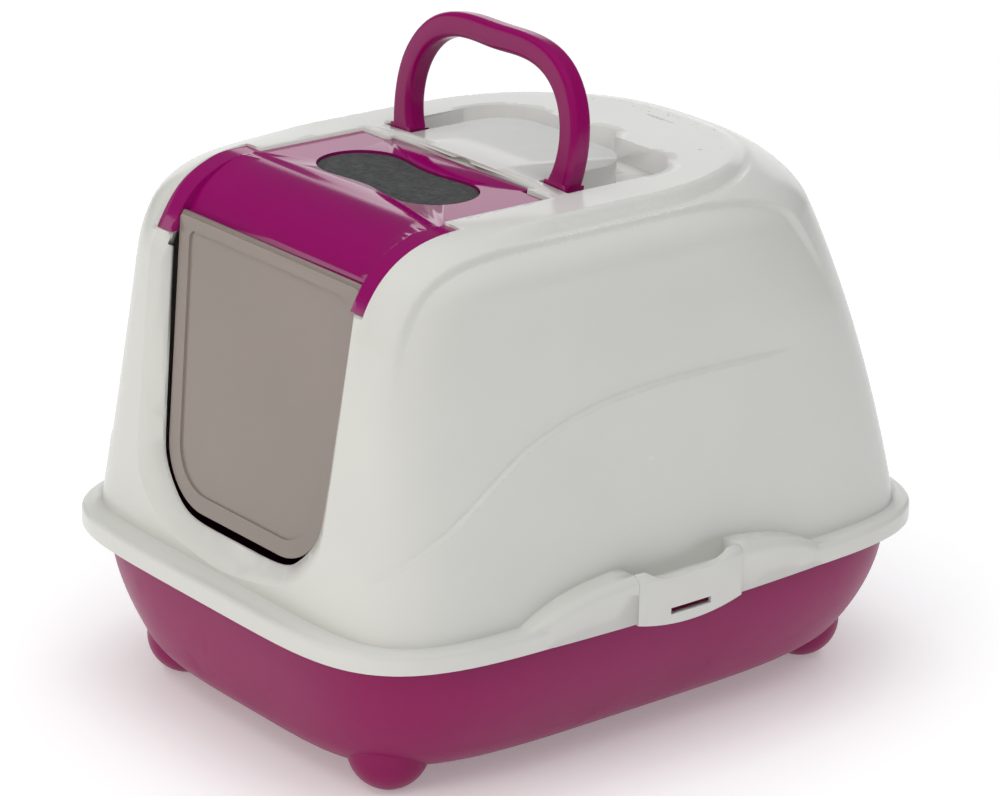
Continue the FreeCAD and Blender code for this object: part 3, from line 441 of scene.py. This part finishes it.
def welded(node, flags=None):
    """bmesh of a CAD node with its faces joined along their edges, and an integer flag on each face."""
    mesh = NODES[node].data
    bm = bmesh.new()
    bm.from_mesh(mesh)
    layer = bm.faces.layers.int.new("skin")
    if flags is not None:
        bm.faces.ensure_lookup_table()
        for face, flag in zip(bm.faces, flags):
            face[layer] = flag
    bmesh.ops.remove_doubles(bm, verts=bm.verts, dist=2e-6)
    bmesh.ops.dissolve_degenerate(bm, edges=bm.edges, dist=1e-6)
    return bm, layer


def skin_flags(node, reach, low, high, limit=0.6):
    """1 on the polygons of CAD faces that lie on the given surface between two heights, else 0."""
    mesh = NODES[node].data
    islands = np.array(cad_islands(mesh))
    places = np.zeros(len(mesh.vertices) * 3)
    mesh.vertices.foreach_get("co", places)
    places = places.reshape(-1, 3) / MM
    centres = np.zeros(len(mesh.polygons) * 3)
    mesh.polygons.foreach_get("center", centres)
    centres = centres.reshape(-1, 3) / MM
    flags = np.zeros(len(mesh.polygons), int)
    for island in np.unique(islands):
        member = islands == island
        rows = np.nonzero(member)[0]
        if len(rows) < 40:
            continue
        used = np.unique([v for i in rows for v in mesh.polygons[i].vertices])
        p = places[used]
        inside = (p[:, 2] > low) & (p[:, 2] < high)
        if inside.mean() < 0.8:
            continue
        p = p[inside]
        slope = np.linalg.norm(slope_of(reach, p, low, high), axis=1)
        gap = np.abs(gap_to(reach, p)) / np.maximum(slope, 1.0)
        if np.percentile(gap, 80) < limit:
            flags[member] = 1
    return flags


def bm_places(bm):
    """Places of a bmesh's vertices in millimetres."""
    return np.array([v.co[:] for v in bm.verts], float) / MM


def refine(bm, layer, reach, low, high, fineness, passes):
    """Splits long edges of the skin and keeps the skin's vertices on its surface."""
    for _ in range(passes):
        bm.verts.index_update()
        places = bm_places(bm)
        edges = [e for e in bm.edges if any(f[layer] for f in e.link_faces)]
        ends = np.array([(e.verts[0].index, e.verts[1].index) for e in edges])
        a, b = places[ends[:, 0]], places[ends[:, 1]]
        length = np.linalg.norm(a - b, axis=1)
        wanted = np.minimum(fineness((a + b) / 2.0), np.minimum(fineness(a), fineness(b)) * 1.6)
        long = [edges[i] for i in np.nonzero(length > wanted * 1.35)[0]]
        if not long:
            break
        bmesh.ops.subdivide_edges(bm, edges=long, cuts=1, use_grid_fill=False)
        ngons = [f for f in bm.faces if len(f.verts) > 3]
        bmesh.ops.triangulate(bm, faces=ngons, quad_method="BEAUTY", ngon_method="BEAUTY")
        settle(bm, layer, reach, low, high)
        skin = [f for f in bm.faces if f[layer]]
        inner = [e for e in bm.edges if len(e.link_faces) == 2 and all(f[layer] for f in e.link_faces)]
        bmesh.ops.beautify_fill(bm, faces=skin, edges=inner, use_restrict_tag=False, method="ANGLE")


def settle(bm, layer, reach, low, high):
    """Puts the skin's vertices back on the surface, apart from those at its lowest and highest level."""
    skin = [v for v in bm.verts if any(f[layer] for f in v.link_faces)]
    p = np.array([v.co[:] for v in skin], float) / MM
    free = (p[:, 2] < high - 1.5) & (p[:, 2] > low)
    p[free] = onto(reach, p[free], low, high)
    for v, place in zip(skin, p * MM):
        v.co = place


def shaped_normals(points, reach, low, high, shape):
    """Exact normals of the displaced surface, from two short steps along it."""
    slope = slope_of(reach, points, low, high)
    normal = slope / np.maximum(np.linalg.norm(slope, axis=1), 1e-9)[:, None]
    level = np.cross(normal, np.array([0.31, 0.17, 0.93]))
    level /= np.linalg.norm(level, axis=1)[:, None]
    other = np.cross(normal, level)
    step = 0.35
    spots = []
    for move in (None, level, other):
        p = points if move is None else onto(reach, points + move * step, low, high)
        g = slope_of(reach, p, low, high)
        n = g / np.maximum(np.linalg.norm(g, axis=1), 1e-9)[:, None]
        spots.append(shape(p, n))
    result = np.cross(spots[1] - spots[0], spots[2] - spots[0])
    size = np.linalg.norm(result, axis=1)
    result /= np.maximum(size, 1e-12)[:, None]
    flip = (result * normal).sum(1) < 0
    result[flip] *= -1
    return spots[0], result


def finish_mesh(bm, name, materials, sharp=32.0):
    """Object made from a bmesh, smooth except over edges sharper than an angle in degrees."""
    mesh = bpy.data.meshes.new(name)
    bm.to_mesh(mesh)
    bm.free()
    for material in materials:
        mesh.materials.append(material)
    mesh.polygons.foreach_set("use_smooth", [True] * len(mesh.polygons))
    mesh.set_sharp_from_angle(angle=math.radians(sharp))
    piece = bpy.data.objects.new(name, mesh)
    bpy.context.scene.collection.objects.link(piece)
    return piece


def skin_piece(node, name, body, material, reach, heights, fineness, shape, passes):
    """Finer, smooth copy of a lofted CAD piece, with its panels and creases."""
    low, high = heights
    bm, layer = welded(node, skin_flags(node, reach, low, high))
    refine(bm, layer, reach, low, high, fineness, passes)
    settle(bm, layer, reach, low, high)
    bm.verts.index_update()
    skin = [v for v in bm.verts if any(f[layer] for f in v.link_faces)]
    p = np.array([v.co[:] for v in skin], float) / MM
    moved, normals = shaped_normals(p, reach, low, high, shape)
    for v, place in zip(skin, moved * MM):
        v.co = place
    flagged = {v.index: i for i, v in enumerate(skin)}
    faces = [bool(f[layer]) for f in bm.faces]
    piece = finish_mesh(bm, name, [material])
    mesh = piece.data
    corner = np.zeros(len(mesh.loops) * 3, np.float32)
    mesh.corner_normals.foreach_get("vector", corner)
    corner = corner.reshape(-1, 3)
    steady = p[:, 2] < high - 1.5
    for polygon, is_skin in zip(mesh.polygons, faces):
        if not is_skin:
            continue
        for loop in polygon.loop_indices:
            i = flagged.get(mesh.loops[loop].vertex_index)
            if i is not None and steady[i]:
                corner[loop] = normals[i]
    mesh.normals_split_custom_set([tuple(n) for n in corner])
    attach(piece, body)
    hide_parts(node)
    return piece


def plain_piece(node, name, body, material, bevel=0.0, sharp=32.0):
    """Welded copy of a CAD piece with smooth shading and slightly rounded edges."""
    bm, _ = welded(node)
    piece = finish_mesh(bm, name, [material], sharp)
    if bevel:
        rounding = piece.modifiers.new("rounded_edges", "BEVEL")
        rounding.width = bevel
        rounding.segments = 2
        rounding.limit_method = "ANGLE"
        rounding.angle_limit = math.radians(50.0)
        rounding.harden_normals = True
    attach(piece, body)
    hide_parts(node)
    return piece


DOOR_PANE_DEPTH = (0.0012, 0.0018)   # the pane lies this far behind the border's face, in metres


def door_piece():
    """The swing door: its border stands proud of the pane and has a clearer material."""
    piece = plain_piece("door_flap", "swing_door", "door", DOOR_BORDER, 0.0003)
    piece.data.materials.append(DOOR_PANE)
    front = max(p.center.dot(p.normal) for p in piece.data.polygons if p.normal.y < -0.9)
    for polygon in piece.data.polygons:
        behind = front - polygon.center.dot(polygon.normal)
        pane = polygon.normal.y < -0.9 and DOOR_PANE_DEPTH[0] < behind < DOOR_PANE_DEPTH[1]
        if pane or polygon.normal.y > 0.9:
            polygon.material_index = 1
        if abs(polygon.normal.y) > 0.9:
            polygon.use_smooth = False
    return piece


# ---- felt pad ------------------------------------------------------------------------------------
def outline_at(node, level, count):
    """Outline of a CAD node's flat face at a height, as evenly spaced points in metres."""
    places = np.array([v.co[:] for v in NODES[node].data.vertices])
    flat = places[np.abs(places[:, 2] - level) < 1e-5][:, :2]
    middle = (flat.min(0) + flat.max(0)) / 2.0
    flat = flat - middle
    angle = np.arctan2(flat[:, 1], flat[:, 0])
    order = np.argsort(angle)
    flat = flat[order]
    keep = np.append(True, np.linalg.norm(np.diff(flat, axis=0), axis=1) > 1e-5)
    flat = flat[keep]
    ring = np.vstack([flat, flat[:1]])
    along = np.append(0.0, np.cumsum(np.linalg.norm(np.diff(ring, axis=0), axis=1)))
    at = np.linspace(0.0, along[-1], count, endpoint=False)
    return np.column_stack([np.interp(at, along, ring[:, 0]), np.interp(at, along, ring[:, 1])]), middle


FELT_COUNT, FELT_RINGS = 220, 34     # points round the outline, and rings from it to the middle
FELT_SPINE = 0.036                  # half length of the line that the rings shrink to
FELT_EDGE = 0.0029                  # thickness of the edge that is held under the visor
FELT_CROWN = 0.0007


def felt_pad():
    """Pressed felt: a thin edge held under the visor and a crowned middle with a matted surface."""
    low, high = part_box("filter_pad")
    count, rings = FELT_COUNT, FELT_RINGS
    wide, middle = outline_at("filter_pad", low[2], count)
    window, _ = outline_at("filter_pad", high[2], count)
    bm = bmesh.new()

    def ring_of(outline, height, shrink=0.0, lift=0.0):
        centre = np.column_stack([np.clip(outline[:, 0], -FELT_SPINE, FELT_SPINE), np.zeros(count)])
        flat = centre + (outline - centre) * (1.0 - shrink)
        row = []
        for x, y in flat:
            spot = Vector((x, y, 0.0)) * 1000.0
            matting = 0.00010 * noise.noise(spot * 0.55) + 0.00006 * noise.noise(spot * 1.7)
            level = height + lift + (matting if lift else 0.0)
            row.append(bm.verts.new((x + middle[0], y + middle[1], level)))
        return row

    shoulder = low[2] + FELT_EDGE
    top = high[2] - 0.0010
    rows = [ring_of(wide, low[2] + 0.0002), ring_of(wide, shoulder), ring_of(window, shoulder),
            ring_of(window, top - 0.0006), ring_of(window, top - 0.0001, 0.012)]
    for i in range(1, rings + 1):
        t = i / rings
        rise = FELT_CROWN * (1.0 - (1.0 - t) ** 2)
        rows.append(ring_of(window, top, 0.012 + 0.988 * t, max(rise, 0.00001)))
    for first, second in zip(rows, rows[1:]):
        for k in range(count):
            bm.faces.new((first[k], first[(k + 1) % count], second[(k + 1) % count], second[k]))
    bm.faces.new(list(reversed(rows[0])))
    bmesh.ops.remove_doubles(bm, verts=bm.verts, dist=1e-7)
    bmesh.ops.recalc_face_normals(bm, faces=bm.faces)
    piece = finish_mesh(bm, "felt_pad", [FELT], 60.0)
    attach(piece, "visor")
    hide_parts("filter_pad")
    return piece


# ---- studio --------------------------------------------------------------------------------------
def area_light(name, place, target, width, height, radiance, colour=(1.0, 1.0, 1.0), mirrored=True):
    """Soft panel that gives off the stated radiance, and may stay out of the object's gloss."""
    data = bpy.data.lights.new(name, "AREA")
    data.shape = "RECTANGLE"
    data.size = width
    data.size_y = height
    data.energy = radiance * math.pi * width * height
    data.color = colour
    light = bpy.data.objects.new(name, data)
    light.location = place
    aim = Vector(target) - Vector(place)
    light.rotation_euler = aim.to_track_quat("-Z", "Y").to_euler()
    light.visible_glossy = mirrored
    light.visible_camera = False
    bpy.context.scene.collection.objects.link(light)


def studio():
    """White floor, a dim ceiling, pale low walls to the left and soft light from above and in front."""
    bpy.context.scene.view_settings.view_transform = "Standard"
    world = bpy.data.worlds.new("studio")
    world.use_nodes = True
    background = world.node_tree.nodes["Background"]
    background.inputs["Color"].default_value = (0.95, 0.97, 1.0, 1.0)
    background.inputs["Strength"].default_value = 0.12
    bpy.context.scene.world = world
    bm = bmesh.new()
    bmesh.ops.create_grid(bm, x_segments=8, y_segments=8, size=6.0)
    mesh = bpy.data.meshes.new("floor")
    bm.to_mesh(mesh)
    bm.free()
    floor = bpy.data.objects.new("floor", mesh)
    s = Shader("floor_white")
    s.set(Base_Color=(0.93, 0.93, 0.93, 1.0), Roughness=0.9, Specular_IOR_Level=0.1,
          Emission_Color=(1.0, 1.0, 1.0, 1.0), Emission_Strength=0.22)
    mesh.materials.append(s.material)
    bpy.context.scene.collection.objects.link(floor)
    area_light("overhead", (0.2, -0.1, 3.0), (0.0, 0.0, 0.0), 5.0, 5.0, 1.50, (0.98, 0.99, 1.0), False)
    area_light("wall_rear_left", (-2.2, 1.8, 0.75), (0.0, 0.0, 0.45), 3.4, 1.3, 1.0)
    area_light("wall_front_left", (-2.1, -1.9, 0.65), (0.0, 0.0, 0.35), 2.2, 1.1, 1.0, (1.0, 0.985, 0.95))
    area_light("fill_right", (2.6, -1.2, 1.3), (0.0, 0.0, 0.2), 2.0, 2.0, 0.95, (1.0, 0.99, 0.97), False)
    area_light("fill_front", (0.3, -3.0, 1.1), (0.0, 0.0, 0.2), 2.0, 1.6, 2.1, (1.0, 0.965, 0.85), False)


make_camera()
studio()

# The CAD nodes are hidden by the pieces that stand for them, and carry the same finishes.
for node, material in (("hood", HOOD_WHITE), ("tray", TRAY_MAGENTA), ("visor", ACCENT), ("handle", HANDLE),
                       ("clip_right", HOOD_WHITE), ("clip_left", HOOD_WHITE), ("filter_retainer", RETAINER),
                       ("filter_pad", FELT), ("door_flap", DOOR_PANE)):
    NODES[node].data.materials.clear()
    NODES[node].data.materials.append(material)

skin_piece("hood", "hood_shell", "hood", HOOD_WHITE, hood_reach, HOOD_SKIN,
           hood_fineness, hood_shape, 7)
skin_piece("tray", "tray_shell", "tray", TRAY_MAGENTA, tray_reach, TRAY_SKIN,
           lambda p: np.full(len(p), 9.0), lambda p, n: p, 4)

plain_piece("visor", "flip_visor", "visor", ACCENT, 0.0004)
plain_piece("handle", "carry_handle", "handle", HANDLE, 0.0006)
plain_piece("filter_retainer", "retainer_grid", "visor", RETAINER)
for side in ("right", "left"):
    plain_piece("clip_" + side, "side_clip_" + side, "clip_" + side, HOOD_WHITE, 0.0004)
door_piece()
felt_pad()
